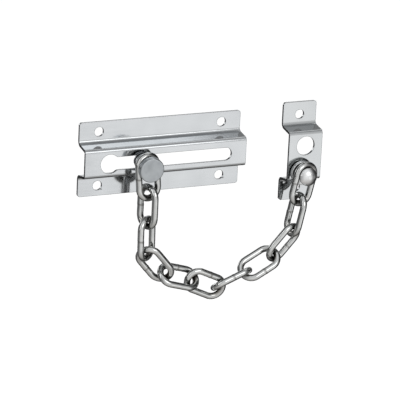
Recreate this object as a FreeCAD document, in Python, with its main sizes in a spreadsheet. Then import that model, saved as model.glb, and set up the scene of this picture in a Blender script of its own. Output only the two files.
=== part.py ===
import FreeCAD, Part
import Sketcher
import math
import os

# Door chain guard: a slotted hat-section plate for the door, a small
# hat-section bracket for the frame, a slider that rides in the slot and an
# eleven-link welded chain hanging between the slider and the domed stud.
#
# Frame: X runs along the slot, +Z is up and -Y points away from the wall.
# Both plates' back faces lie on y = 0. The origin is the centre of the slot
# plate's back face. All lengths are in millimetres, all angles in degrees.

doc = FreeCAD.newDocument("door_chain_guard")
sheet = doc.addObject("Spreadsheet::Sheet", "Sizes")

SIZES = [
    ("sheet_thick", 1.5),
    ("plate_half_length", 50.0),
    ("plate_half_width", 22.0),
    ("corner_round", 1.6),
    # hat section of the slot plate, measured from its own middle line
    ("flange_line", 10.0),
    ("face_half", 8.4),
    ("web_foot_inner", 8.72),
    ("web_top_inner", 7.12),
    ("raise_front", 11.6),
    ("raise_back", 10.1),
    ("bend_outer", 2.1),
    ("bend_inner", 0.6),
    ("bend_foot", 2.0),
    ("bend_back", 3.4),
    # screw holes of both plates
    ("screw_hole_dia", 5.6),
    ("screw_half_pitch_x", 38.0),
    ("screw_half_pitch_z", 16.0),
    # keyhole slot
    ("keyhole_x", 34.8),
    ("keyhole_dia", 11.4),
    ("slot_drop", 0.45),
    ("slot_height", 7.7),
    ("slot_end_x", 36.95),
    ("neck_round", 2.2),
    # bracket
    ("bracket_x", 88.2),
    ("bracket_half_width", 10.6),
    ("bracket_top", 24.3),
    ("bracket_foot_top", 10.5),
    ("bracket_face_top", 8.9),
    ("bracket_inner_foot_top", 9.22),
    ("bracket_inner_face_top", 7.62),
    ("bracket_inner_face_low", 19.42),
    ("bracket_inner_foot_low", 21.02),
    ("bracket_face_low", 20.7),
    ("bracket_foot_low", 22.3),
    ("bracket_bottom", 35.3),
    ("bracket_screw_top", 16.65),
    ("bracket_screw_low", 27.95),
    ("parking_z", 0.3),
    ("parking_dia", 11.4),
    # slider
    ("slider_x", 14.5),
    ("slider_z", 0.8),
    ("slider_tilt", 4.5),
    ("slider_tilt_depth", 10.85),
    ("slider_neck_dia", 6.7),
    ("slider_back_dia", 9.2),
    ("slider_back_from", 8.2),
    ("slider_back_to", 9.55),
    ("collar_dia", 11.4),
    ("hub_dia", 10.8),
    ("hub_from", 12.15),
    ("collar_from", 13.5),
    ("collar_to", 14.9),
    ("collar_round", 0.45),
    ("slider_link_neck_dia", 7.8),
    ("button_from", 22.0),
    ("button_to", 25.6),
    ("button_dia", 14.5),
    ("button_round", 0.6),
    # domed stud on the bracket
    ("stud_x", 87.0),
    ("stud_z", 16.1),
    ("stud_collar_dia", 14.2),
    ("stud_collar_to", 12.75),
    ("stud_collar_round", 0.35),
    ("stud_hole_dia", 4.2),
    ("stud_shank_dia", 4.1),
    ("link_neck_dia", 8.2),
    ("dome_from", 19.5),
    ("dome_rim", 20.4),
    ("dome_tip", 23.0),
    ("dome_dia", 10.8),
    ("rivet_head_dia", 5.6),
    ("rivet_head_from", 8.9),
    # chain
    ("wire_dia", 3.9),
    ("link_outer_width", 16.4),
    ("link_outer_length", 27.4),
    ("first_link_outer_length", 29.2),
    ("weld_dia", 4.3),
    ("weld_length", 1.3),
    ("chain_y_first", 18.3),
    ("chain_y_last", 16.1),
]

# Lean of each link's long axis from +X towards +Z, its roll about that axis,
# and the free play between a link and the next one.
LEANS = [-85, -90, -89, -50, -16, -25, 21, 28, 48, 78, 77]
ROLLS = [-11, 72, -36, 36, -49, 10, 61, -50, 27, -85, 12]
PLAYS = [2.67, 0.35, 1.45, 1.15, 1.15, 0.0, 0.5, 0.45, 1.0, 1.0]
# Side of each link that carries the butt weld: +1 or -1 across its width.
WELD_SIDES = [-1, -1, -1, -1, 1, 1, 1, -1, -1, 1, 1]

for number, lean in enumerate(LEANS, 1):
    SIZES.append(("lean_%02d" % number, lean))
for number, roll in enumerate(ROLLS, 1):
    SIZES.append(("roll_%02d" % number, roll))
for number, play in enumerate(PLAYS, 1):
    SIZES.append(("play_%02d" % number, play))

for row, (alias, value) in enumerate(SIZES, 1):
    sheet.set("A%d" % row, alias)
    sheet.set("B%d" % row, str(value))
    sheet.setAlias("B%d" % row, alias)
doc.recompute()


def size(alias):
    """Value of a named cell."""
    return float(sheet.get(alias))


def signed(term):
    """Number and expression for a term such as ("-", "flange_line") or 0."""
    if term == 0:
        return 0.0, "0"
    sign, alias = term
    value = size(alias)
    if sign == "-":
        return -value, "-Sizes.%s" % alias
    return value, "Sizes.%s" % alias


def plane_of(body, role):
    """Origin plane of a body, found by its role."""
    for feature in body.Origin.OriginFeatures:
        if feature.Role == role:
            return feature
    raise RuntimeError("no plane " + role)


def new_sketch(body, role, name):
    """Sketch attached flat to one of the body's own origin planes."""
    sketch = body.newObject("Sketcher::SketchObject", name)
    sketch.AttachmentSupport = [(plane_of(body, role), "")]
    sketch.MapMode = "FlatFace"
    return sketch


def pin_point(sketch, geometry, position, across, along):
    """Ties a sketch point to signed cells, measured from the origin."""
    for kind, term in (("DistanceX", across), ("DistanceY", along)):
        value, expression = signed(term)
        index = sketch.addConstraint(
            Sketcher.Constraint(kind, -1, 1, geometry, position, value))
        if term != 0:
            sketch.setExpression("Constraints[%d]" % index, expression)


def polygon(sketch, corners):
    """Closed outline through corners given as pairs of signed terms."""
    points = []
    for across, along in corners:
        x, y = signed(across)[0], signed(along)[0]
        points.append(FreeCAD.Vector(x, y, 0))
    count = len(points)
    for index in range(count):
        line = Part.LineSegment(points[index], points[(index + 1) % count])
        sketch.addGeometry(line, False)
    for index in range(count):
        after = (index + 1) % count
        sketch.addConstraint(
            Sketcher.Constraint("Coincident", index, 2, after, 1))
    for index, (across, along) in enumerate(corners):
        pin_point(sketch, index, 1, across, along)


def circle(sketch, across, along, diameter):
    """Circle of a named diameter, centred on signed cells."""
    x, y = signed(across)[0], signed(along)[0]
    shape = Part.Circle(FreeCAD.Vector(x, y, 0), FreeCAD.Vector(0, 0, 1),
                        size(diameter) / 2)
    index = sketch.addGeometry(shape, False)
    pin_point(sketch, index, 3, across, along)
    number = sketch.addConstraint(
        Sketcher.Constraint("Diameter", index, size(diameter)))
    sketch.setExpression("Constraints[%d]" % number, "Sizes." + diameter)


def pad_both_ways(body, sketch, name, half_length):
    """Pad of a section, the same distance to each side of its plane."""
    pad = body.newObject("PartDesign::Pad", name)
    pad.Profile = sketch
    pad.SideType = "Symmetric"
    pad.Length = 2 * size(half_length)
    pad.setExpression("Length", "2 * Sizes." + half_length)
    sketch.Visibility = False
    doc.recompute()
    return pad


def cut_through(body, sketch, name):
    """Pocket through everything, both ways, which must remove material."""
    before = body.Shape.Volume
    pocket = body.newObject("PartDesign::Pocket", name)
    pocket.Profile = sketch
    pocket.SideType = "Symmetric"
    pocket.Type = "ThroughAll"
    doc.recompute()
    if not body.Shape.Volume < before - 1.0:
        raise RuntimeError(name + " cuts nothing")
    return pocket


def near(first, second):
    return abs(first - second) < 0.02


def long_edges(shape, y, z):
    """Names of the edges that run along X at the given y and z."""
    names = []
    for index, edge in enumerate(shape.Edges, 1):
        if len(edge.Vertexes) != 2:
            continue
        ends = [vertex.Point for vertex in edge.Vertexes]
        if all(near(end.y, y) and near(end.z, z) for end in ends):
            names.append("Edge%d" % index)
    return names


def depth_edges(shape, x, z):
    """Names of the edges that run along Y at the given x and z."""
    names = []
    for index, edge in enumerate(shape.Edges, 1):
        if len(edge.Vertexes) != 2:
            continue
        ends = [vertex.Point for vertex in edge.Vertexes]
        if all(near(end.x, x) and near(end.z, z) for end in ends):
            names.append("Edge%d" % index)
    return names


def round_edges(body, name, edges, radius):
    """Fillet of a named radius on edges of the body's tip."""
    if not edges:
        raise RuntimeError(name + " found no edges")
    base = body.Tip
    fillet = body.newObject("PartDesign::Fillet", name)
    fillet.Base = (base, edges)
    fillet.Radius = size(radius)
    fillet.setExpression("Radius", "Sizes." + radius)
    body.Tip = fillet
    doc.recompute()
    return fillet


def turned(node, steps, x, z, rounds=(), tilt=0.0, pivot=0.0):
    """Turned piece: a body revolved about the Y direction.

    steps lists (radius, depth) corners of the half section, where depth is
    the distance in front of the wall plane. The axis goes through (x, z). A
    tilt in degrees lets its front end droop about the point on the axis
    that lies at the pivot depth.
    """
    body = doc.addObject("PartDesign::Body", node)
    sketch = new_sketch(body, "XY_Plane", node + "_section")
    points = []
    for radius, depth in steps:
        points.append(FreeCAD.Vector(radius[0], -depth[0], 0))
    count = len(points)
    for index in range(count):
        sketch.addGeometry(
            Part.LineSegment(points[index], points[(index + 1) % count]))
    for index in range(count):
        sketch.addConstraint(Sketcher.Constraint(
            "Coincident", index, 2, (index + 1) % count, 1))
    for index, (radius, depth) in enumerate(steps):
        for kind, value, expression in (
                ("DistanceX", radius[0], radius[1]),
                ("DistanceY", -depth[0], "-(%s)" % depth[1])):
            number = sketch.addConstraint(
                Sketcher.Constraint(kind, -1, 1, index, 1, value))
            if expression != "0":
                sketch.setExpression("Constraints[%d]" % number, expression)
    revolution = body.newObject("PartDesign::Revolution", node + "_turned")
    revolution.Profile = sketch
    revolution.ReferenceAxis = (sketch, ["V_Axis"])
    revolution.Angle = 360
    doc.recompute()
    for number, (depth, radius, name) in enumerate(rounds, 1):
        edges = []
        for index, edge in enumerate(body.Shape.Edges, 1):
            curve = edge.Curve
            if not isinstance(curve, Part.Circle):
                continue
            if near(curve.Radius, radius) and near(curve.Center.y, -depth):
                edges.append("Edge%d" % index)
        round_edges(body, "%s_round_%d" % (node, number), edges, name)
    droop = FreeCAD.Rotation(FreeCAD.Vector(1, 0, 0), tilt)
    centre = FreeCAD.Vector(0, -pivot, 0)
    body.Placement = FreeCAD.Placement(
        FreeCAD.Vector(x, 0, z) + centre - droop.multVec(centre), droop)
    body.Label = node
    return body


def half_of(alias):
    """Radius from a named diameter, as a number and an expression."""
    return size(alias) / 2, "Sizes.%s / 2" % alias


def cell(alias):
    return size(alias), "Sizes." + alias


AXIS = (0.0, "0")
nodes = []

# --- slot plate -----------------------------------------------------------

# The whole hat section, from the lower flange's edge to the upper one's.
plate = doc.addObject("PartDesign::Body", "slot_plate")
section = new_sketch(plate, "YZ_Plane", "slot_plate_section")
polygon(section, [
    (0, ("-", "plate_half_width")),
    (("-", "sheet_thick"), ("-", "plate_half_width")),
    (("-", "sheet_thick"), ("-", "flange_line")),
    (("-", "raise_front"), ("-", "face_half")),
    (("-", "raise_front"), ("+", "face_half")),
    (("-", "sheet_thick"), ("+", "flange_line")),
    (("-", "sheet_thick"), ("+", "plate_half_width")),
    (0, ("+", "plate_half_width")),
    (0, ("+", "web_foot_inner")),
    (("-", "raise_back"), ("+", "web_top_inner")),
    (("-", "raise_back"), ("-", "web_top_inner")),
    (0, ("-", "web_foot_inner")),
])
pad_both_ways(plate, section, "slot_plate_pad", "plate_half_length")

edges = long_edges(plate.Shape, -size("raise_front"), size("face_half"))
edges += long_edges(plate.Shape, -size("raise_front"), -size("face_half"))
round_edges(plate, "plate_outer_bends", edges, "bend_outer")
edges = long_edges(plate.Shape, -size("raise_back"), size("web_top_inner"))
edges += long_edges(plate.Shape, -size("raise_back"), -size("web_top_inner"))
round_edges(plate, "plate_inner_bends", edges, "bend_inner")
edges = long_edges(plate.Shape, -size("sheet_thick"), size("flange_line"))
edges += long_edges(plate.Shape, -size("sheet_thick"), -size("flange_line"))
round_edges(plate, "plate_foot_bends", edges, "bend_foot")
edges = long_edges(plate.Shape, 0, size("web_foot_inner"))
edges += long_edges(plate.Shape, 0, -size("web_foot_inner"))
round_edges(plate, "plate_back_bends", edges, "bend_back")

edges = []
for x in (-size("plate_half_length"), size("plate_half_length")):
    for z in (-size("plate_half_width"), size("plate_half_width")):
        edges += depth_edges(plate.Shape, x, z)
round_edges(plate, "plate_corners", edges, "corner_round")

holes = new_sketch(plate, "XZ_Plane", "plate_screw_holes")
for across in ("-", "+"):
    for along in ("-", "+"):
        circle(holes, (across, "screw_half_pitch_x"),
               (along, "screw_half_pitch_z"), "screw_hole_dia")
cut_through(plate, holes, "plate_screw_pocket")

keyhole = new_sketch(plate, "XZ_Plane", "plate_keyhole")
circle(keyhole, ("-", "keyhole_x"), ("-", "slot_drop"), "keyhole_dia")
cut_through(plate, keyhole, "plate_keyhole_pocket")

# The slot: two straight sides, a round right end, open into the keyhole.
slot = new_sketch(plate, "XZ_Plane", "plate_slot")
left, right = -size("keyhole_x"), size("slot_end_x")
middle, half = -size("slot_drop"), size("slot_height") / 2
corners = [
    FreeCAD.Vector(left, middle - half, 0),
    FreeCAD.Vector(right, middle - half, 0),
    FreeCAD.Vector(right, middle + half, 0),
    FreeCAD.Vector(left, middle + half, 0),
]
slot.addGeometry(Part.LineSegment(corners[0], corners[1]), False)
slot.addGeometry(Part.LineSegment(corners[2], corners[3]), False)
slot.addGeometry(Part.LineSegment(corners[3], corners[0]), False)
slot.addGeometry(Part.ArcOfCircle(
    Part.Circle(FreeCAD.Vector(right, middle, 0),
                FreeCAD.Vector(0, 0, 1), half),
    -math.pi / 2, math.pi / 2), False)
slot.addConstraint(Sketcher.Constraint("Coincident", 1, 2, 2, 1))
slot.addConstraint(Sketcher.Constraint("Coincident", 2, 2, 0, 1))
slot.addConstraint(Sketcher.Constraint("Tangent", 0, 2, 3, 1))
slot.addConstraint(Sketcher.Constraint("Tangent", 3, 2, 1, 1))
slot.addConstraint(Sketcher.Constraint("Horizontal", 0))
slot.addConstraint(Sketcher.Constraint("Vertical", 2))
pin_point(slot, 3, 3, ("+", "slot_end_x"), ("-", "slot_drop"))
number = slot.addConstraint(Sketcher.Constraint("Radius", 3, half))
slot.setExpression("Constraints[%d]" % number, "Sizes.slot_height / 2")
number = slot.addConstraint(
    Sketcher.Constraint("DistanceX", -1, 1, 0, 1, left))
slot.setExpression("Constraints[%d]" % number, "-Sizes.keyhole_x")
cut_through(plate, slot, "plate_slot_pocket")

reach_in = math.sqrt((size("keyhole_dia") / 2) ** 2 - half ** 2)
edges = depth_edges(plate.Shape, left + reach_in, middle - half)
edges += depth_edges(plate.Shape, left + reach_in, middle + half)
round_edges(plate, "plate_slot_necks", edges, "neck_round")
plate.Label = "slot_plate"
nodes.append(plate)

# --- bracket --------------------------------------------------------------

bracket = doc.addObject("PartDesign::Body", "chain_bracket")
section = new_sketch(bracket, "YZ_Plane", "chain_bracket_section")
polygon(section, [
    (0, ("-", "bracket_bottom")),
    (("-", "sheet_thick"), ("-", "bracket_bottom")),
    (("-", "sheet_thick"), ("-", "bracket_foot_low")),
    (("-", "raise_front"), ("-", "bracket_face_low")),
    (("-", "raise_front"), ("+", "bracket_face_top")),
    (("-", "sheet_thick"), ("+", "bracket_foot_top")),
    (("-", "sheet_thick"), ("+", "bracket_top")),
    (0, ("+", "bracket_top")),
    (0, ("+", "bracket_inner_foot_top")),
    (("-", "raise_back"), ("+", "bracket_inner_face_top")),
    (("-", "raise_back"), ("-", "bracket_inner_face_low")),
    (0, ("-", "bracket_inner_foot_low")),
])
pad_both_ways(bracket, section, "chain_bracket_pad", "bracket_half_width")

edges = long_edges(bracket.Shape, -size("raise_front"),
                   size("bracket_face_top"))
edges += long_edges(bracket.Shape, -size("raise_front"),
                    -size("bracket_face_low"))
round_edges(bracket, "bracket_outer_bends", edges, "bend_outer")
edges = long_edges(bracket.Shape, -size("raise_back"),
                   size("bracket_inner_face_top"))
edges += long_edges(bracket.Shape, -size("raise_back"),
                    -size("bracket_inner_face_low"))
round_edges(bracket, "bracket_inner_bends", edges, "bend_inner")
edges = long_edges(bracket.Shape, -size("sheet_thick"),
                   size("bracket_foot_top"))
edges += long_edges(bracket.Shape, -size("sheet_thick"),
                    -size("bracket_foot_low"))
round_edges(bracket, "bracket_foot_bends", edges, "bend_foot")
edges = long_edges(bracket.Shape, 0, size("bracket_inner_foot_top"))
edges += long_edges(bracket.Shape, 0, -size("bracket_inner_foot_low"))
round_edges(bracket, "bracket_back_bends", edges, "bend_back")

edges = []
for x in (-size("bracket_half_width"), size("bracket_half_width")):
    for z in (-size("bracket_bottom"), size("bracket_top")):
        edges += depth_edges(bracket.Shape, x, z)
round_edges(bracket, "bracket_corners", edges, "corner_round")

holes = new_sketch(bracket, "XZ_Plane", "bracket_screw_holes")
circle(holes, 0, ("+", "bracket_screw_top"), "screw_hole_dia")
circle(holes, 0, ("-", "bracket_screw_low"), "screw_hole_dia")
cut_through(bracket, holes, "bracket_screw_pocket")
parking = new_sketch(bracket, "XZ_Plane", "bracket_parking_hole")
circle(parking, 0, ("+", "parking_z"), "parking_dia")
cut_through(bracket, parking, "bracket_parking_pocket")

# Hole for the stud's shank, a little to the left of the middle line.
shank = new_sketch(bracket, "XZ_Plane", "bracket_stud_hole")
offset = size("stud_x") - size("bracket_x")
shank_circle = shank.addGeometry(Part.Circle(
    FreeCAD.Vector(offset, -size("stud_z"), 0),
    FreeCAD.Vector(0, 0, 1), size("stud_hole_dia") / 2), False)
number = shank.addConstraint(Sketcher.Constraint(
    "DistanceX", -1, 1, shank_circle, 3, offset))
shank.setExpression("Constraints[%d]" % number,
                    "Sizes.stud_x - Sizes.bracket_x")
number = shank.addConstraint(Sketcher.Constraint(
    "DistanceY", -1, 1, shank_circle, 3, -size("stud_z")))
shank.setExpression("Constraints[%d]" % number, "-Sizes.stud_z")
number = shank.addConstraint(Sketcher.Constraint(
    "Diameter", shank_circle, size("stud_hole_dia")))
shank.setExpression("Constraints[%d]" % number, "Sizes.stud_hole_dia")
cut_through(bracket, shank, "bracket_stud_pocket")

bracket.Placement = FreeCAD.Placement(
    FreeCAD.Vector(size("bracket_x"), 0, 0), FreeCAD.Rotation())
bracket.Label = "chain_bracket"
nodes.append(bracket)

# --- slider: button, collar with slot neck, and back disc -------------------

# The slider hangs loosely in the slot, so its button droops a little.
slider_x, slider_z = -size("slider_x"), -size("slider_z")
tilt, tilt_depth = size("slider_tilt"), size("slider_tilt_depth")

button = turned("slider_button", [
    (AXIS, cell("collar_to")),
    (half_of("slider_link_neck_dia"), cell("collar_to")),
    (half_of("slider_link_neck_dia"), cell("button_from")),
    (half_of("button_dia"), cell("button_from")),
    (half_of("button_dia"), cell("button_to")),
    (AXIS, cell("button_to")),
], slider_x, slider_z, rounds=[
    (size("button_to"), size("button_dia") / 2, "button_round"),
], tilt=tilt, pivot=tilt_depth)
nodes.append(button)

collar = turned("slider_collar", [
    (AXIS, cell("slider_back_to")),
    (half_of("slider_neck_dia"), cell("slider_back_to")),
    (half_of("slider_neck_dia"), cell("hub_from")),
    (half_of("hub_dia"), cell("hub_from")),
    (half_of("hub_dia"), cell("collar_from")),
    (half_of("collar_dia"), cell("collar_from")),
    (half_of("collar_dia"), cell("collar_to")),
    (AXIS, cell("collar_to")),
], slider_x, slider_z, rounds=[
    (size("collar_to"), size("collar_dia") / 2, "collar_round"),
], tilt=tilt, pivot=tilt_depth)
nodes.append(collar)

back_disc = turned("slider_back_disc", [
    (AXIS, cell("slider_back_from")),
    (half_of("slider_back_dia"), cell("slider_back_from")),
    (half_of("slider_back_dia"), cell("slider_back_to")),
    (AXIS, cell("slider_back_to")),
], slider_x, slider_z, rounds=[
    (size("slider_back_from"), size("slider_back_dia") / 2, "collar_round"),
], tilt=tilt, pivot=tilt_depth)
nodes.append(back_disc)

# --- domed stud and its collar ------------------------------------------------

stud_x, stud_z = size("stud_x"), -size("stud_z")

# The dome is a ball cap: its sphere goes through the rim and the tip.
dome = doc.addObject("PartDesign::Body", "dome_stud")
section = new_sketch(dome, "XY_Plane", "dome_stud_section")
rim_radius = size("dome_dia") / 2
cap_height = size("dome_tip") - size("dome_rim")
ball = (rim_radius ** 2 + cap_height ** 2) / (2 * cap_height)
ball_centre = size("dome_tip") - ball
outline = [
    (0.0, size("rivet_head_from")),
    (size("rivet_head_dia") / 2, size("rivet_head_from")),
    (size("rivet_head_dia") / 2, size("raise_back")),
    (size("stud_shank_dia") / 2, size("raise_back")),
    (size("stud_shank_dia") / 2, size("stud_collar_to")),
    (size("link_neck_dia") / 2, size("stud_collar_to")),
    (size("link_neck_dia") / 2, size("dome_from")),
    (rim_radius, size("dome_from")),
    (rim_radius, size("dome_rim")),
]
names = [
    ("0", "Sizes.rivet_head_from"),
    ("Sizes.rivet_head_dia / 2", "Sizes.rivet_head_from"),
    ("Sizes.rivet_head_dia / 2", "Sizes.raise_back"),
    ("Sizes.stud_shank_dia / 2", "Sizes.raise_back"),
    ("Sizes.stud_shank_dia / 2", "Sizes.stud_collar_to"),
    ("Sizes.link_neck_dia / 2", "Sizes.stud_collar_to"),
    ("Sizes.link_neck_dia / 2", "Sizes.dome_from"),
    ("Sizes.dome_dia / 2", "Sizes.dome_from"),
    ("Sizes.dome_dia / 2", "Sizes.dome_rim"),
]
points = [FreeCAD.Vector(radius, -depth, 0) for radius, depth in outline]
for first, second in zip(points[:-1], points[1:]):
    section.addGeometry(Part.LineSegment(first, second), False)
tip = FreeCAD.Vector(0, -size("dome_tip"), 0)
half_angle = math.asin(rim_radius / ball)
middle_of_cap = FreeCAD.Vector(ball * math.sin(half_angle / 2),
                               -ball_centre - ball * math.cos(half_angle / 2),
                               0)
cap = section.addGeometry(Part.Arc(points[-1], middle_of_cap, tip), False)
core = section.addGeometry(Part.LineSegment(tip, points[0]), False)
for index in range(len(points) - 2):
    section.addConstraint(
        Sketcher.Constraint("Coincident", index, 2, index + 1, 1))
for index, (radius, depth) in enumerate(names[:-1]):
    for kind, expression, value in (
            ("DistanceX", radius, outline[index][0]),
            ("DistanceY", "-(%s)" % depth, -outline[index][1])):
        number = section.addConstraint(
            Sketcher.Constraint(kind, -1, 1, index, 1, value))
        if expression != "0":
            section.setExpression("Constraints[%d]" % number, expression)
last_line = len(points) - 2
for kind, expression, value in (
        ("DistanceX", names[-1][0], outline[-1][0]),
        ("DistanceY", "-(%s)" % names[-1][1], -outline[-1][1])):
    number = section.addConstraint(
        Sketcher.Constraint(kind, -1, 1, last_line, 2, value))
    section.setExpression("Constraints[%d]" % number, expression)
revolution = dome.newObject("PartDesign::Revolution", "dome_stud_turned")
revolution.Profile = section
revolution.ReferenceAxis = (section, ["V_Axis"])
revolution.Angle = 360
doc.recompute()
dome.Placement = FreeCAD.Placement(
    FreeCAD.Vector(stud_x, 0, stud_z), FreeCAD.Rotation())
dome.Label = "dome_stud"
nodes.append(dome)

stud_collar = turned("stud_collar", [
    (half_of("stud_hole_dia"), cell("raise_front")),
    (half_of("stud_collar_dia"), cell("raise_front")),
    (half_of("stud_collar_dia"), cell("stud_collar_to")),
    (half_of("stud_hole_dia"), cell("stud_collar_to")),
], stud_x, stud_z, rounds=[
    (size("stud_collar_to"), size("stud_collar_dia") / 2,
     "stud_collar_round"),
])
nodes.append(stud_collar)

# --- chain ------------------------------------------------------------------

end_radius = (size("link_outer_width") - size("wire_dia")) / 2
straight_half = (size("link_outer_length") - size("link_outer_width")) / 2
RADIUS_TEXT = "(Sizes.link_outer_width - Sizes.wire_dia) / 2"
first_half = (size("first_link_outer_length") - size("link_outer_width")) / 2
STRAIGHT_TEXT = "(Sizes.link_outer_length - Sizes.link_outer_width) / 2"
FIRST_TEXT = "(Sizes.first_link_outer_length - Sizes.link_outer_width) / 2"


def straight_of(index):
    """Half the straight part of a link's side bars."""
    return first_half if index == 0 else straight_half


def make_link(number, weld_side):
    """One link lying in its own XY plane, long axis on X, centre at 0.

    The first link is a little longer than the others.
    """
    tag = "link_%02d" % number
    half = straight_of(number - 1)
    half_text = FIRST_TEXT if number == 1 else STRAIGHT_TEXT
    pieces = []
    for side, sign in (("near", 1), ("far", -1)):
        bar = doc.addObject("Part::Cylinder", "%s_bar_%s" % (tag, side))
        bar.setExpression("Radius", "Sizes.wire_dia / 2")
        bar.setExpression("Height", "2 * " + half_text)
        bar.Placement = FreeCAD.Placement(
            FreeCAD.Vector(-half, sign * end_radius, 0),
            FreeCAD.Rotation(FreeCAD.Vector(0, 1, 0), 90))
        bar.setExpression("Placement.Base.x", "-" + half_text)
        bar.setExpression("Placement.Base.y",
                          ("" if sign > 0 else "-") + RADIUS_TEXT)
        pieces.append(bar)
    for end, sign, turn in (("first", -1, 90), ("last", 1, -90)):
        bend = doc.addObject("Part::Torus", "%s_bend_%s" % (tag, end))
        bend.setExpression("Radius1", RADIUS_TEXT)
        bend.setExpression("Radius2", "Sizes.wire_dia / 2")
        bend.Angle3 = 180
        bend.Placement = FreeCAD.Placement(
            FreeCAD.Vector(sign * half, 0, 0),
            FreeCAD.Rotation(FreeCAD.Vector(0, 0, 1), turn))
        bend.setExpression("Placement.Base.x",
                           ("" if sign > 0 else "-") + half_text)
        pieces.append(bend)
    weld = doc.addObject("Part::Cylinder", tag + "_weld")
    weld.setExpression("Radius", "Sizes.weld_dia / 2")
    weld.setExpression("Height", "Sizes.weld_length")
    weld.Placement = FreeCAD.Placement(
        FreeCAD.Vector(-size("weld_length") / 2, weld_side * end_radius, 0),
        FreeCAD.Rotation(FreeCAD.Vector(0, 1, 0), 90))
    weld.setExpression("Placement.Base.x", "-Sizes.weld_length / 2")
    weld.setExpression("Placement.Base.y",
                       ("" if weld_side > 0 else "-") + RADIUS_TEXT)
    pieces.append(weld)
    link = doc.addObject("Part::MultiFuse", tag)
    link.Shapes = pieces
    link.Refine = True
    link.Label = tag
    return link


def directions(lean, roll):
    """Unit vectors along a link's length and across its width."""
    lean, roll = math.radians(lean), math.radians(roll)
    along = FreeCAD.Vector(math.cos(lean), 0, math.sin(lean))
    upright = FreeCAD.Vector(-math.sin(lean), 0, math.cos(lean))
    normal = along.cross(upright)
    across = upright * math.cos(roll) + normal * math.sin(roll)
    return along, across


def in_plane(vector, along, across):
    """Unit vector of a direction's shadow on a link's own plane."""
    shadow = along * vector.dot(along) + across * vector.dot(across)
    return shadow.normalize()


def step(first, second, play, first_straight):
    """From one link's centre to the next, with the given play."""
    pull = (first[0] + second[0]).normalize()
    crowns = in_plane(pull, *first) + in_plane(pull, *second)
    straight = first[0] * first_straight + second[0] * straight_half
    return straight + crowns * end_radius - pull * (size("wire_dia") + play)


links = []
frames = []
for number in range(1, len(LEANS) + 1):
    links.append(make_link(number, WELD_SIDES[number - 1]))
    frames.append(directions(size("lean_%02d" % number),
                             size("roll_%02d" % number)))

# Links 1 to 6 hang from the slider, links 11 back to 7 from the stud. The
# chain comes a little nearer to the wall from the slider to the stud.
LAST = len(LEANS) - 1
OPEN = 5
centres = [None] * len(LEANS)
neck_depth = size("chain_y_first") - tilt_depth
neck_z = slider_z - neck_depth * math.sin(math.radians(tilt))
centres[0] = (FreeCAD.Vector(slider_x, 0, neck_z)
              + frames[0][0] * first_half)
for index in range(OPEN):
    play = size("play_%02d" % (index + 1))
    centres[index + 1] = centres[index] + step(
        frames[index], frames[index + 1], play, straight_of(index))
centres[LAST] = (FreeCAD.Vector(stud_x, 0, stud_z)
                 - frames[LAST][0] * straight_half)
for index in range(LAST - 1, OPEN, -1):
    play = size("play_%02d" % (index + 1))
    centres[index] = centres[index + 1] - step(
        frames[index], frames[index + 1], play, straight_of(index))

for index, link in enumerate(links):
    along, across = frames[index]
    drift = size("chain_y_last") - size("chain_y_first")
    depth = size("chain_y_first") + drift * index / LAST
    centre = FreeCAD.Vector(centres[index].x, -depth, centres[index].z)
    turn = FreeCAD.Rotation(along, across, along.cross(across), "XYZ")
    link.Placement = FreeCAD.Placement(centre, turn)
    nodes.append(link)

# --- checks and files ---------------------------------------------------------

doc.recompute()
for item in doc.Objects:
    for word in ("Invalid", "Error"):
        if word in item.State:
            raise RuntimeError("%s is %s" % (item.Label, item.State))
os.makedirs("parts", exist_ok=True)
for node in nodes:
    shape = node.Shape
    if shape.isNull() or not shape.isValid() or len(shape.Solids) != 1:
        raise RuntimeError("%s has a bad shape" % node.Label)
    shape.exportStep("parts/%s.step" % node.Label)
    box = shape.BoundBox
    print("%-18s volume %9.2f  x %7.2f %7.2f  y %7.2f %7.2f  z %7.2f %7.2f" % (
        node.Label, shape.Volume, box.XMin, box.XMax,
        box.YMin, box.YMax, box.ZMin, box.ZMax))
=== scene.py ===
"""Looks of a door chain guard: bright plated plates, a turned slider and stud,
and a chain of eleven polished wire links with butt welds."""

import math
import random

import bpy
from mathutils import Matrix, Vector


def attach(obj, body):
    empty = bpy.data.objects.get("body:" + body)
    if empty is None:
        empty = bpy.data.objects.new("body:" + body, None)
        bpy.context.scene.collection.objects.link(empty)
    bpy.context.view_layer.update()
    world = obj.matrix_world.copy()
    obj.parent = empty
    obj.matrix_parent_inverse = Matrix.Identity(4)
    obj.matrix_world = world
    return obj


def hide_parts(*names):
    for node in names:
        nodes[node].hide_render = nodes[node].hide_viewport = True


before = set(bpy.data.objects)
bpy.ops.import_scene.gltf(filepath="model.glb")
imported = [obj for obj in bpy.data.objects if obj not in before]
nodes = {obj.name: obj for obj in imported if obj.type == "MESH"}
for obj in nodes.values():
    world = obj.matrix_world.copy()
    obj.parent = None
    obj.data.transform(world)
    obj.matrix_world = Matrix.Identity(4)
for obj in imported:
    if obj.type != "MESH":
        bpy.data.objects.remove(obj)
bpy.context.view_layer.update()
MM = 0.001
FULL_TURN = 2 * math.pi

# --- chain sizes, the same as the CAD model's, in millimetres and degrees -----

WIRE = 3.9
OUTER_WIDTH = 16.4
OUTER_LENGTH = 27.4
FIRST_LENGTH = 29.2
END_RADIUS = (OUTER_WIDTH - WIRE) / 2
STRAIGHT_HALF = (OUTER_LENGTH - OUTER_WIDTH) / 2
FIRST_HALF = (FIRST_LENGTH - OUTER_WIDTH) / 2
# X and Z of the slider's axis, of the middle of link 1's upper bend and of
# the stud's axis
SLIDER_AXIS = (-14.5, -0.8)
FIRST_ARC = (-14.5, -1.385)
STUD_AXIS = (87.0, -16.1)
SLIDER_TILT = 4.5
DEPTH_FIRST, DEPTH_LAST = 18.3, 16.1
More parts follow.
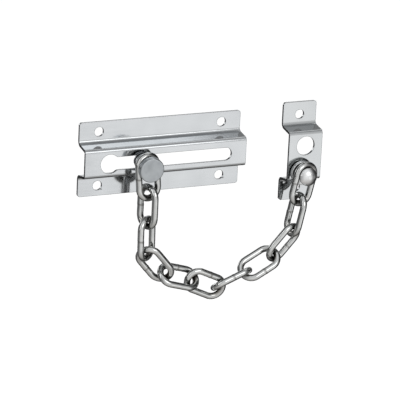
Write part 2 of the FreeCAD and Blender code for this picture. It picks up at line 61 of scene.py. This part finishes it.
# each link's direction from +X towards +Z, and its turn about its own length
LEANS = [-85, -90, -89, -50, -16, -25, 21, 28, 48, 78, 77]
ROLLS = [-11, 72, -36, 36, -49, 10, 61, -50, 27, -85, 12]
# slack between each link and the next; the one after link 6 isn't used
PLAYS = [2.67, 0.35, 1.45, 1.15, 1.15, 0.0, 0.5, 0.45, 1.0, 1.0]
# the side bar that has the weld, by its sign across the link
WELD_SIDES = [-1, -1, -1, -1, 1, 1, 1, -1, -1, 1, 1]
COUNT = len(LEANS)
# index of the last link that is placed from the slider, not from the stud
OPEN_AFTER = 5


def straight_of(index):
    """Half the straight part of a link's side bars; the first is longer."""
    return FIRST_HALF if index == 0 else STRAIGHT_HALF


def directions(lean, roll):
    """Unit vectors along a link's length and across its width."""
    lean, roll = math.radians(lean), math.radians(roll)
    along = Vector((math.cos(lean), 0, math.sin(lean)))
    upright = Vector((-math.sin(lean), 0, math.cos(lean)))
    across = upright * math.cos(roll) + along.cross(upright) * math.sin(roll)
    return along, across


def in_plane(vector, along, across):
    """Unit vector of a vector's shadow on a link's plane."""
    shadow = along * vector.dot(along) + across * vector.dot(across)
    return shadow.normalized()


def step(first, second, play, first_straight):
    """From one link's centre to the next one's."""
    pull = (first[0] + second[0]).normalized()
    crowns = in_plane(pull, *first) + in_plane(pull, *second)
    straight = first[0] * first_straight + second[0] * STRAIGHT_HALF
    return straight + crowns * END_RADIUS - pull * (WIRE + play)


def link_frames():
    """Centre, length direction and width direction of every link, in mm."""
    axes = [directions(lean, roll) for lean, roll in zip(LEANS, ROLLS)]
    centres = [None] * COUNT
    start = Vector((FIRST_ARC[0], 0, FIRST_ARC[1]))
    centres[0] = start + axes[0][0] * FIRST_HALF
    for i in range(OPEN_AFTER):
        centres[i + 1] = centres[i] + step(
            axes[i], axes[i + 1], PLAYS[i], straight_of(i))
    end = Vector((STUD_AXIS[0], 0, STUD_AXIS[1]))
    centres[-1] = end - axes[-1][0] * STRAIGHT_HALF
    for i in range(COUNT - 2, OPEN_AFTER, -1):
        centres[i] = centres[i + 1] - step(
            axes[i], axes[i + 1], PLAYS[i], straight_of(i))
    found = []
    for i, centre in enumerate(centres):
        depth = DEPTH_FIRST + (DEPTH_LAST - DEPTH_FIRST) * i / (COUNT - 1)
        found.append((Vector((centre.x, -depth, centre.z)), *axes[i]))
    return found


# --- node helpers ---------------------------------------------------------------

# the colour sockets of a Mix node
MIX_FIRST, MIX_SECOND, MIX_RESULT = 6, 7, 2
# samples of the nodes that look round themselves
NEAR_SAMPLES = 8


class Graph:
    """Short helper to add and join the nodes of a tree."""

    def __init__(self, tree):
        self.tree = tree

    def add(self, kind, **inputs):
        """Adds a node; an underscore in an input's name stands for a space."""
        node = self.tree.nodes.new(kind)
        for key, value in inputs.items():
            node.inputs[key.replace("_", " ")].default_value = value
        return node

    def join(self, start, out, end, into):
        """Joins an output to an input, each given by its name or number."""
        self.tree.links.new(start.outputs[out], end.inputs[into])

    def ramp(self, source, out, low, high, start=0.3, end=0.7):
        """Spreads a value between start and end over low to high."""
        span = self.add("ShaderNodeMapRange", From_Min=start, From_Max=end,
                        To_Min=low, To_Max=high)
        self.join(source, out, span, "Value")
        return span

    def blank_mix(self):
        """Mix node for colours, with nothing joined to it."""
        node = self.add("ShaderNodeMix")
        node.data_type = "RGBA"
        return node


class Surface(Graph):
    """A new material and what is painted on it."""

    def __init__(self, name):
        self.material = bpy.data.materials.new(name)
        self.material.use_nodes = True
        super().__init__(self.material.node_tree)
        self.shader = self.tree.nodes["Principled BSDF"]

    def noise(self, scale, detail, stretch=None):
        """Noise in the piece's own coordinates, stretched where asked."""
        place = self.add("ShaderNodeTexCoord")
        texture = self.add("ShaderNodeTexNoise", Scale=scale, Detail=detail)
        if stretch is None:
            self.join(place, "Object", texture, "Vector")
        else:
            mapping = self.add("ShaderNodeMapping", Scale=stretch)
            self.join(place, "Object", mapping, "Vector")
            self.join(mapping, "Vector", texture, "Vector")
        return texture

    def tint(self, factor, out, dark, light):
        """Colour between dark and light by a factor."""
        mix = self.blank_mix()
        mix.inputs[MIX_FIRST].default_value = (*dark, 1)
        mix.inputs[MIX_SECOND].default_value = (*light, 1)
        self.join(factor, out, mix, "Factor")
        return mix

    def clouds(self, scale, dark, light):
        """Colour that drifts between dark and light over the surface."""
        drift = self.noise(scale, detail=4.0)
        shade = self.ramp(drift, "Fac", low=0.0, high=1.0)
        return self.tint(shade, "Result", dark, light)

    def cover(self, colour, factor, out, coat):
        """Lays a coat's colour over a mixed colour by a factor."""
        mix = self.blank_mix()
        mix.inputs[MIX_SECOND].default_value = (*coat, 1)
        self.join(colour, MIX_RESULT, mix, MIX_FIRST)
        self.join(factor, out, mix, "Factor")
        return mix

    def marks(self, colour, places, coat, strength, ragged):
        """Small dark spots with ragged rims at given places."""
        for place, reach in places:
            where = self.add("ShaderNodeTexCoord")
            away = self.add("ShaderNodeVectorMath")
            away.operation = "DISTANCE"
            away.inputs[1].default_value = [value * MM for value in place]
            self.join(where, "Object", away, 0)
            rim = self.ramp(self.noise(scale=2600.0, detail=3.0), "Fac",
                            low=-ragged * reach * MM, high=ragged * reach * MM)
            total = self.add("ShaderNodeMath")
            self.join(away, "Value", total, 0)
            self.join(rim, "Result", total, 1)
            span = self.ramp(total, "Value", low=strength, high=0.0,
                             start=0.5 * reach * MM, end=reach * MM)
            colour = self.cover(colour, span, "Result", coat)
        return colour

    def painted_crevice_shade(self, colour, reach, crevice_shade, strength=0.80):
        """Painted shade: darkens a colour where other surfaces stand close, where
        shade falls.
        """
        shelter = self.add("ShaderNodeAmbientOcclusion", Distance=reach)
        shelter.samples = NEAR_SAMPLES
        span = self.ramp(shelter, "AO", low=strength, high=0.0,
                         start=0.25, end=0.80)
        return self.cover(colour, span, "Result", crevice_shade)

    def soft_edge(self, radius):
        """Rounded normal along sharp edges."""
        node = self.add("ShaderNodeBevel", Radius=radius)
        node.samples = NEAR_SAMPLES
        return node

    def edge_reflection_line(self, colour, edge, dark, full=0.80, clear=0.97):
        """Painted dark reflection along sharp edges, partly the darker sheared
        edge: darkens a colour where the rounded normal leaves the true one.
        """
        face = self.add("ShaderNodeNewGeometry")
        match = self.add("ShaderNodeVectorMath")
        match.operation = "DOT_PRODUCT"
        self.join(edge, "Normal", match, 0)
        self.join(face, "Normal", match, 1)
        span = self.ramp(match, "Value", low=1.0, high=0.0,
                         start=full, end=clear)
        return self.cover(colour, span, "Result", dark)

    def bump(self, source, out, strength, height, base=None):
        """Raises the surface by a value, on top of another bump's normal."""
        node = self.add("ShaderNodeBump", Strength=strength, Distance=height)
        self.join(source, out, node, "Height")
        if base is not None:
            self.join(base, "Normal", node, "Normal")
        return node

    def mesh_value(self, name):
        """A value that the mesh carries at each of its points."""
        node = self.add("ShaderNodeAttribute")
        node.attribute_name = name
        return node

    def bare_metal(self, colour, rough, rough_out, skin):
        """Joins colour, roughness and normal to a shader of bare metal."""
        self.join(colour, MIX_RESULT, self.shader, "Base Color")
        self.join(rough, rough_out, self.shader, "Roughness")
        self.join(skin, "Normal", self.shader, "Normal")
        self.shader.inputs["Metallic"].default_value = 1.0
        return self.material


# --- materials ------------------------------------------------------------------

EDGE_RADIUS = 0.4 * MM
# colour of the painted dark reflection along sharp edges, partly the darker
# sheared edge
EDGE_REFLECTION_DARK = (0.12, 0.12, 0.125)
BURR_DARK = (0.06, 0.06, 0.06)
# colours of the painted shade where other surfaces stand close, on turned pieces
# and on wire
TURNED_CREVICE_SHADE = (0.05, 0.05, 0.052)
WIRE_CREVICE_SHADE = (0.05, 0.048, 0.045)
WELD_STAIN = (0.16, 0.15, 0.14)
# worn colour inside the bends, darkened past the wear as painted shade where the
# links meet
RUBBED_AND_SHADED_METAL = (0.20, 0.175, 0.15)
STAIN_ROUGHNESS = 0.25
# the stretch of the rolling grain, long in X
GRAIN_STRETCH = (0.06, 1.0, 1.0)


def plated_sheet(name, dark, light, rough_low, rough_high, burrs):
    """Bright plated sheet: cloudy plating, painted dark edge lines, faint rolling
    grain, punch burrs.
    """
    n = Surface(name)
    edge = n.soft_edge(EDGE_RADIUS)
    colour = n.clouds(55.0, dark, light)
    # painted dark reflection along the sheet's edges and hole walls, partly the
    # darker sheared edge
    colour = n.edge_reflection_line(colour, edge, EDGE_REFLECTION_DARK)
    colour = n.marks(colour, burrs, BURR_DARK, strength=0.85, ragged=0.4)
    grain = n.noise(scale=900.0, detail=2.0, stretch=GRAIN_STRETCH)
    rough = n.ramp(grain, "Fac", rough_low, rough_high)
    fine = n.bump(grain, "Fac", strength=0.006, height=0.02 * MM, base=edge)
    pits = n.ramp(n.noise(scale=260.0, detail=5.0), "Fac", low=1.0, high=0.0,
                  start=0.26, end=0.40)
    skin = n.bump(pits, "Result", strength=0.02, height=0.03 * MM, base=fine)
    return n.bare_metal(colour, rough, "Result", skin)


def turned_steel(name, dark, light, rough_low, rough_high, axis, tilt=0.0):
    """Turned and plated piece: fine rings round its own axis, with painted shade
    where other surfaces stand close.
    """
    n = Surface(name)
    colour = n.clouds(180.0, dark, light)
    # painted shade: darker where the collar, links and plates stand close
    colour = n.painted_crevice_shade(colour, reach=7 * MM, crevice_shade=TURNED_CREVICE_SHADE)
    place = n.add("ShaderNodeTexCoord")
    mapping = n.add("ShaderNodeMapping",
                    Location=(-axis[0] * MM, 0, -axis[1] * MM),
                    Rotation=(-math.radians(tilt), 0, 0))
    n.join(place, "Object", mapping, "Vector")
    rings = n.add("ShaderNodeTexWave", Scale=620.0, Distortion=1.2, Detail=2.0)
    rings.wave_type = "RINGS"
    rings.rings_direction = "Y"
    n.join(mapping, "Vector", rings, "Vector")
    speck = n.noise(scale=700.0, detail=3.0)
    rough = n.ramp(speck, "Fac", rough_low, rough_high)
    edge = n.soft_edge(EDGE_RADIUS)
    fine = n.bump(rings, "Fac", strength=0.06, height=0.03 * MM, base=edge)
    skin = n.bump(speck, "Fac", strength=0.05, height=0.03 * MM, base=fine)
    return n.bare_metal(colour, rough, "Result", skin)


def polished_wire(name, dark, light, rough_low, rough_high):
    """Bright plated wire: stained at the butt weld, warmer where it rubs and
    darker there with painted shade where the links meet, and painted shade where
    other surfaces stand close.
    """
    n = Surface(name)
    heat = n.mesh_value("weld_heat")
    rub_and_shade = n.mesh_value("rub_and_shade")
    colour = n.clouds(140.0, dark, light)
    # warmer worn colour inside the bends, its darkness partly painted shade where
    # the links meet
    colour = n.cover(colour, rub_and_shade, "Fac", RUBBED_AND_SHADED_METAL)
    colour = n.cover(colour, heat, "Fac", WELD_STAIN)
    # painted shade: darker where other links and the plates stand close
    colour = n.painted_crevice_shade(colour, reach=4.5 * MM, crevice_shade=WIRE_CREVICE_SHADE)
    speck = n.noise(scale=420.0, detail=4.0)
    rough = n.ramp(speck, "Fac", rough_low, rough_high)
    worn = n.add("ShaderNodeMath")
    worn.operation = "MULTIPLY_ADD"
    worn.inputs[1].default_value = STAIN_ROUGHNESS
    n.join(heat, "Fac", worn, 0)
    n.join(rough, "Result", worn, 2)
    dents = n.bump(n.noise(scale=330.0, detail=2.0), "Fac",
                   strength=0.12, height=0.18 * MM)
    skin = n.bump(speck, "Fac", strength=0.06, height=0.04 * MM, base=dents)
    return n.bare_metal(colour, worn, "Value", skin)


# place and reach of each burr and handling mark, in millimetres
PLATE_MARKS = [((-35.6, -1.5, -18.3), 0.55), ((40.7, -1.5, -18.0), 0.60),
               ((32.0, -6.0, 11.4), 0.70), ((37.6, -6.0, 11.4), 0.60)]
BRACKET_MARKS = [((97.0, -3.0, 12.0), 0.60)]

plate_steel = plated_sheet(
    "plated_plate", dark=(0.485, 0.500, 0.512), light=(0.535, 0.550, 0.562),
    rough_low=0.085, rough_high=0.125, burrs=PLATE_MARKS)
bracket_steel = plated_sheet(
    "plated_bracket", dark=(0.485, 0.500, 0.508), light=(0.53, 0.545, 0.552),
    rough_low=0.06, rough_high=0.10, burrs=BRACKET_MARKS)
slider_steel = turned_steel(
    "turned_slider", dark=(0.42, 0.445, 0.465), light=(0.54, 0.57, 0.59),
    rough_low=0.30, rough_high=0.40, axis=SLIDER_AXIS, tilt=SLIDER_TILT)
stud_steel = turned_steel(
    "turned_stud", dark=(0.80, 0.81, 0.81), light=(0.88, 0.89, 0.89),
    rough_low=0.26, rough_high=0.34, axis=STUD_AXIS)
chain_steel = polished_wire(
    "polished_wire", dark=(0.53, 0.54, 0.535), light=(0.67, 0.675, 0.665),
    rough_low=0.05, rough_high=0.14)

NODE_MATERIALS = {
    "slot_plate": plate_steel,
    "chain_bracket": bracket_steel,
    "slider_button": slider_steel,
    "slider_collar": slider_steel,
    "slider_back_disc": slider_steel,
    "dome_stud": stud_steel,
    "stud_collar": stud_steel,
}

for name, material in NODE_MATERIALS.items():
    nodes[name].data.materials.clear()
    nodes[name].data.materials.append(material)


# --- links, in millimetres ------------------------------------------------------

ARC_STEPS = 26
BAR_STEPS = 36
ROUND_STEPS = 28
# link 1 draws from the seed after this one, link 2 from the next, and so on
SEED = 40
# how much slimmer the wire's radius is than the CAD model's
SLIMMER = 0.015
# the wire's unevenness: height, waves round the link, waves round the wire
UNEVEN = ((0.010, 3, 0), (0.006, 7, 2))
# the weld: lump with two sets of lobes, seam in its middle, step across it
LUMP_LOW, LUMP_HIGH, LUMP_REACH = 0.12, 0.20, 0.40
LOBES = ((0.35, 2), (0.20, 5))
SEAM_DEPTH, SEAM_REACH = 0.16, 0.15
SLIP_MOST, SLIP_START, SLIP_REACH = 0.10, 0.2, 2.6
STAIN, STAIN_REACH = 0.7, 0.5
# rubbing on the inside of the bends, darkened beyond the wear as painted shade
# where the links meet
RUB_AND_SHADE, RUB_AND_SHADE_POWER = 0.85, 0.7


def bell(distance, reach):
    """Falls smoothly from 1 at no distance towards 0 beyond the reach."""
    return math.exp(-(distance / reach) ** 2)


def link_path(half):
    """Points round a link's middle line: (x, y, outward x, outward y, bar).

    bar is the distance along a straight side from its middle, or None.
    """
    path = []
    for side in (1, -1):
        for i in range(BAR_STEPS):
            x = -half + 2 * half * i / BAR_STEPS
            path.append((side * x, side * END_RADIUS, 0, side, side * x))
        for i in range(ARC_STEPS):
            turn = math.pi / 2 - math.pi * i / ARC_STEPS
            cos, sin = math.cos(turn) * side, math.sin(turn) * side
            path.append((side * half + END_RADIUS * cos,
                         END_RADIUS * sin, cos, sin, None))
    return path


def tube_faces(total):
    """Four-sided faces of a closed ring of round sections."""
    faces = []
    for i in range(total):
        following = (i + 1) % total
        for j in range(ROUND_STEPS):
            beside = (j + 1) % ROUND_STEPS
            faces.append((i * ROUND_STEPS + j, i * ROUND_STEPS + beside,
                          following * ROUND_STEPS + beside,
                          following * ROUND_STEPS + j))
    return faces


def make_link(number, centre, along, across):
    """One wire link, with the lump, seam and small step of its butt weld."""
    rng = random.Random(SEED + number)
    normal = along.cross(across)
    weld_side = WELD_SIDES[number - 1]
    lump = rng.uniform(LUMP_LOW, LUMP_HIGH)
    slip = rng.uniform(-SLIP_MOST, SLIP_MOST)
    # the third phase is drawn to keep the two after it in their places
    *lobe_phases, _, wave_a, wave_b = [
        rng.uniform(0, FULL_TURN) for _ in range(5)]
    verts, heat, rub_and_shade = [], [], []
    path = link_path(straight_of(number - 1))
    for index, (x, y, out_x, out_y, bar) in enumerate(path):
        outward = along * out_x + across * out_y
        middle = centre + along * x + across * y
        near_weld = bar is not None and out_y * weld_side > 0
        warm = STAIN * bell(bar, STAIN_REACH) if near_weld else 0.0
        crown = 0.0 if bar is not None else abs(out_x)
        turn = FULL_TURN * index / len(path)
        for j in range(ROUND_STEPS):
            angle = FULL_TURN * j / ROUND_STEPS
            radius = WIRE / 2 - SLIMMER
            for (height, turns, rounds), phase in zip(UNEVEN, (wave_a, wave_b)):
                radius += height * math.sin(turns * turn + rounds * angle + phase)
            shift = 0.0
            if near_weld:
                lumpy = 1.0
                for (share, count), phase in zip(LOBES, lobe_phases):
                    lumpy += share * math.sin(count * angle + phase)
                radius += lump * lumpy * bell(bar, LUMP_REACH)
                radius -= SEAM_DEPTH * bell(bar, SEAM_REACH)
                shift = slip * math.tanh(bar / SLIP_START) * bell(bar, SLIP_REACH)
            point = middle + outward * (radius * math.cos(angle))
            point += normal * (radius * math.sin(angle) + shift)
            verts.append(point * MM)
            heat.append(warm)
            rub_and_shade.append(RUB_AND_SHADE * crown * max(0.0, -math.cos(angle)) ** RUB_AND_SHADE_POWER)
    faces = tube_faces(len(path))
    tag = "link_%02d" % number
    mesh = bpy.data.meshes.new(tag + "_wire")
    mesh.from_pydata(verts, [], faces)
    mesh.polygons.foreach_set("use_smooth", [True] * len(faces))
    for key, values in (("weld_heat", heat), ("rub_and_shade", rub_and_shade)):
        layer = mesh.attributes.new(key, "FLOAT", "POINT")
        layer.data.foreach_set("value", values)
    mesh.update()
    obj = bpy.data.objects.new(tag + "_wire", mesh)
    bpy.context.scene.collection.objects.link(obj)
    mesh.materials.append(chain_steel)
    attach(obj, tag)
    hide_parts(tag)


for number, (centre, along, across) in enumerate(link_frames(), 1):
    make_link(number, centre, along, across)


# --- camera ---------------------------------------------------------------------

TURN = math.radians(23.868)
RISE = math.radians(17.116)
ROLL = math.radians(2.45)
DISTANCE = 1.623
# the picture's width, and the focal length and the aim in the same unit
FRAME = 400.0
FOCAL = 2831.0
AIM_RIGHT, AIM_UP = 40.333, -46.563
# the middle of the slot plate, level with the front of its flanges
TARGET = Vector((0, -1.5 * MM, 0))
CLIP_NEAR, CLIP_FAR = 0.05, 50

towards = Vector((-math.sin(TURN) * math.cos(RISE),
                  -math.cos(TURN) * math.cos(RISE), math.sin(RISE)))
level = Vector((math.cos(TURN), -math.sin(TURN), 0))
upward = level.cross(-towards)
right = level * math.cos(ROLL) + upward * math.sin(ROLL)
up = upward * math.cos(ROLL) - level * math.sin(ROLL)
forward = (-towards * FOCAL + right * AIM_RIGHT + up * AIM_UP).normalized()
right = forward.cross(up).normalized()
up = right.cross(forward)

camera_data = bpy.data.cameras.new("camera")
camera_data.lens = FOCAL / FRAME * camera_data.sensor_width
camera_data.clip_start = CLIP_NEAR
camera_data.clip_end = CLIP_FAR
camera = bpy.data.objects.new("camera", camera_data)
bpy.context.scene.collection.objects.link(camera)
pose = Matrix((right, up, -forward)).transposed().to_4x4()
camera.matrix_world = Matrix.Translation(TARGET + towards * DISTANCE) @ pose
bpy.context.scene.camera = camera

# --- floor ----------------------------------------------------------------------

FLOOR_LEVEL = -0.60
FLOOR_HALF = 15
FLOOR_DARK = (0.93, 0.93, 0.93)
FLOOR_LIGHT = (0.96, 0.96, 0.96)
FLOOR_GLOW = 0.66

corners = [(x * FLOOR_HALF, y * FLOOR_HALF, FLOOR_LEVEL)
           for x, y in ((-1, -1), (1, -1), (1, 1), (-1, 1))]
floor_mesh = bpy.data.meshes.new("floor")
floor_mesh.from_pydata(corners, [], [(0, 1, 2, 3)])
floor = bpy.data.objects.new("floor", floor_mesh)
bpy.context.scene.collection.objects.link(floor)
pale = Surface("pale_floor")
mottle = pale.noise(scale=3.0, detail=2.0)
wash = pale.ramp(mottle, "Fac", low=0.0, high=1.0)
paint = pale.tint(wash, "Result", FLOOR_DARK, FLOOR_LIGHT)
pale.join(paint, MIX_RESULT, pale.shader, "Base Color")
pale.shader.inputs["Roughness"].default_value = 0.9
pale.shader.inputs["Emission Color"].default_value = (1, 1, 1, 1)
pale.shader.inputs["Emission Strength"].default_value = FLOOR_GLOW
floor_mesh.materials.append(pale.material)
# reflections take the room's own levels instead of the floor
floor.visible_glossy = False

# --- the room's light -----------------------------------------------------------

# each level: lean of a direction along the axis, brightness there, warmth there
BY_HEIGHT = [(-1.0, 0.55, 0.03), (-0.62, 0.72, 0.02), (-0.42, 0.88, 0.0),
             (0.10, 0.96, 0.0), (0.40, 0.86, 0.0), (0.70, 0.80, -0.01),
             (0.90, 1.05, -0.01), (1.0, 1.15, -0.01)]
BY_DEPTH = [(-1.0, 1.0, 0.0), (-0.35, 0.88, 0.0), (0.0, 0.38, 0.0),
            (0.30, 0.10, 0.0), (0.70, 0.03, 0.0), (0.88, 0.45, 0.0),
            (1.0, 0.85, 0.0)]
BY_SIDE = [(-1.0, 0.15, 0.0), (-0.78, 0.60, 0.0), (-0.50, 1.0, 0.0),
           (0.50, 1.0, 0.0), (0.70, 0.40, 0.0), (1.0, 0.10, 0.0)]

world = bpy.data.worlds.new("studio")
bpy.context.scene.world = world
world.use_nodes = True
sky = Graph(world.node_tree)
sky.tree.nodes.clear()


def direction_ramp(source, axis, levels):
    """Colour by how far a direction leans along one axis, from -1 to 1."""
    lean = sky.ramp(source, axis, low=0.0, high=1.0, start=-1.0, end=1.0)
    bands = sky.add("ShaderNodeValToRGB")
    ramp = bands.color_ramp
    while len(ramp.elements) < len(levels):
        ramp.elements.new(position=0.5)
    for element, (reach, brightness, warmth) in zip(ramp.elements, levels):
        element.position = (reach + 1) / 2
        element.color = (brightness * (1 + warmth), brightness,
                         brightness * (1 - warmth), 1)
    sky.join(lean, "Result", bands, "Fac")
    return bands


def product(first, first_out, second, second_out):
    """One colour times another."""
    mix = sky.blank_mix()
    mix.blend_type = "MULTIPLY"
    mix.inputs["Factor"].default_value = 1.0
    sky.join(first, first_out, mix, MIX_FIRST)
    sky.join(second, second_out, mix, MIX_SECOND)
    return mix


place = sky.add("ShaderNodeTexCoord")
swing = sky.add("ShaderNodeMapping", Rotation=(0, 0, TURN))
sky.join(place, "Generated", swing, "Vector")
turned = sky.add("ShaderNodeSeparateXYZ")
sky.join(swing, "Vector", turned, "Vector")
straight = sky.add("ShaderNodeSeparateXYZ")
sky.join(place, "Generated", straight, "Vector")
by_height = direction_ramp(turned, "Z", BY_HEIGHT)
by_depth = direction_ramp(turned, "Y", BY_DEPTH)
by_side = direction_ramp(straight, "X", BY_SIDE)
round_about = product(by_height, "Color", by_depth, "Color")
surroundings = product(round_about, MIX_RESULT, by_side, "Color")
studio = sky.add("ShaderNodeBackground")
sky.join(surroundings, MIX_RESULT, studio, "Color")
white = sky.add("ShaderNodeBackground", Color=(1, 1, 1, 1))
rays = sky.add("ShaderNodeLightPath")
choose = sky.add("ShaderNodeMixShader")
sky.join(rays, "Is Camera Ray", choose, "Fac")
sky.join(studio, 0, choose, 1)
sky.join(white, 0, choose, 2)
output = sky.add("ShaderNodeOutputWorld")
sky.join(choose, 0, output, "Surface")

# --- soft boxes -----------------------------------------------------------------

# azimuth (0 is straight in front, positive to the right) and elevation in
# degrees, distance, width and height in metres, power in watts
SOFT_BOXES = {
    "key": (10, 29, 1.1, 0.60, 0.45, 1.4),
    "low_fill": (30, -14, 1.2, 0.5, 0.35, 0.25),
    "left_strip": (-70, 25, 1.0, 0.12, 0.8, 0.8),
    "back_rim": (205, 12, 1.2, 0.5, 0.4, 1.0),
    "top_back": (135, 58, 1.1, 0.7, 0.5, 1.0),
    "low_back": (135, -15, 1.2, 0.42, 0.36, 0.26),
    "low_back_left": (225, -15, 1.2, 0.42, 0.36, 0.12),
    "low_right": (70, -12, 1.2, 0.42, 0.36, 0.12),
}
# what the soft boxes are aimed at, about the middle of the object
AIM = Vector((0.03, 0, -0.03))


def soft_box(name, azimuth, elevation, distance, width, height, power):
    """Area light aimed at the middle of the object."""
    data = bpy.data.lights.new(name, "AREA")
    data.shape = "RECTANGLE"
    data.size, data.size_y = width, height
    data.energy = power
    light = bpy.data.objects.new(name, data)
    bpy.context.scene.collection.objects.link(light)
    a, e = math.radians(azimuth), math.radians(elevation)
    away = Vector((math.sin(a) * math.cos(e), -math.cos(a) * math.cos(e),
                   math.sin(e)))
    light.location = AIM + away * distance
    light.rotation_mode = "QUATERNION"
    light.rotation_quaternion = (-away).to_track_quat("-Z", "Y")


for name, setting in SOFT_BOXES.items():
    soft_box(name, *setting)

bpy.context.scene.view_settings.view_transform = "Standard"
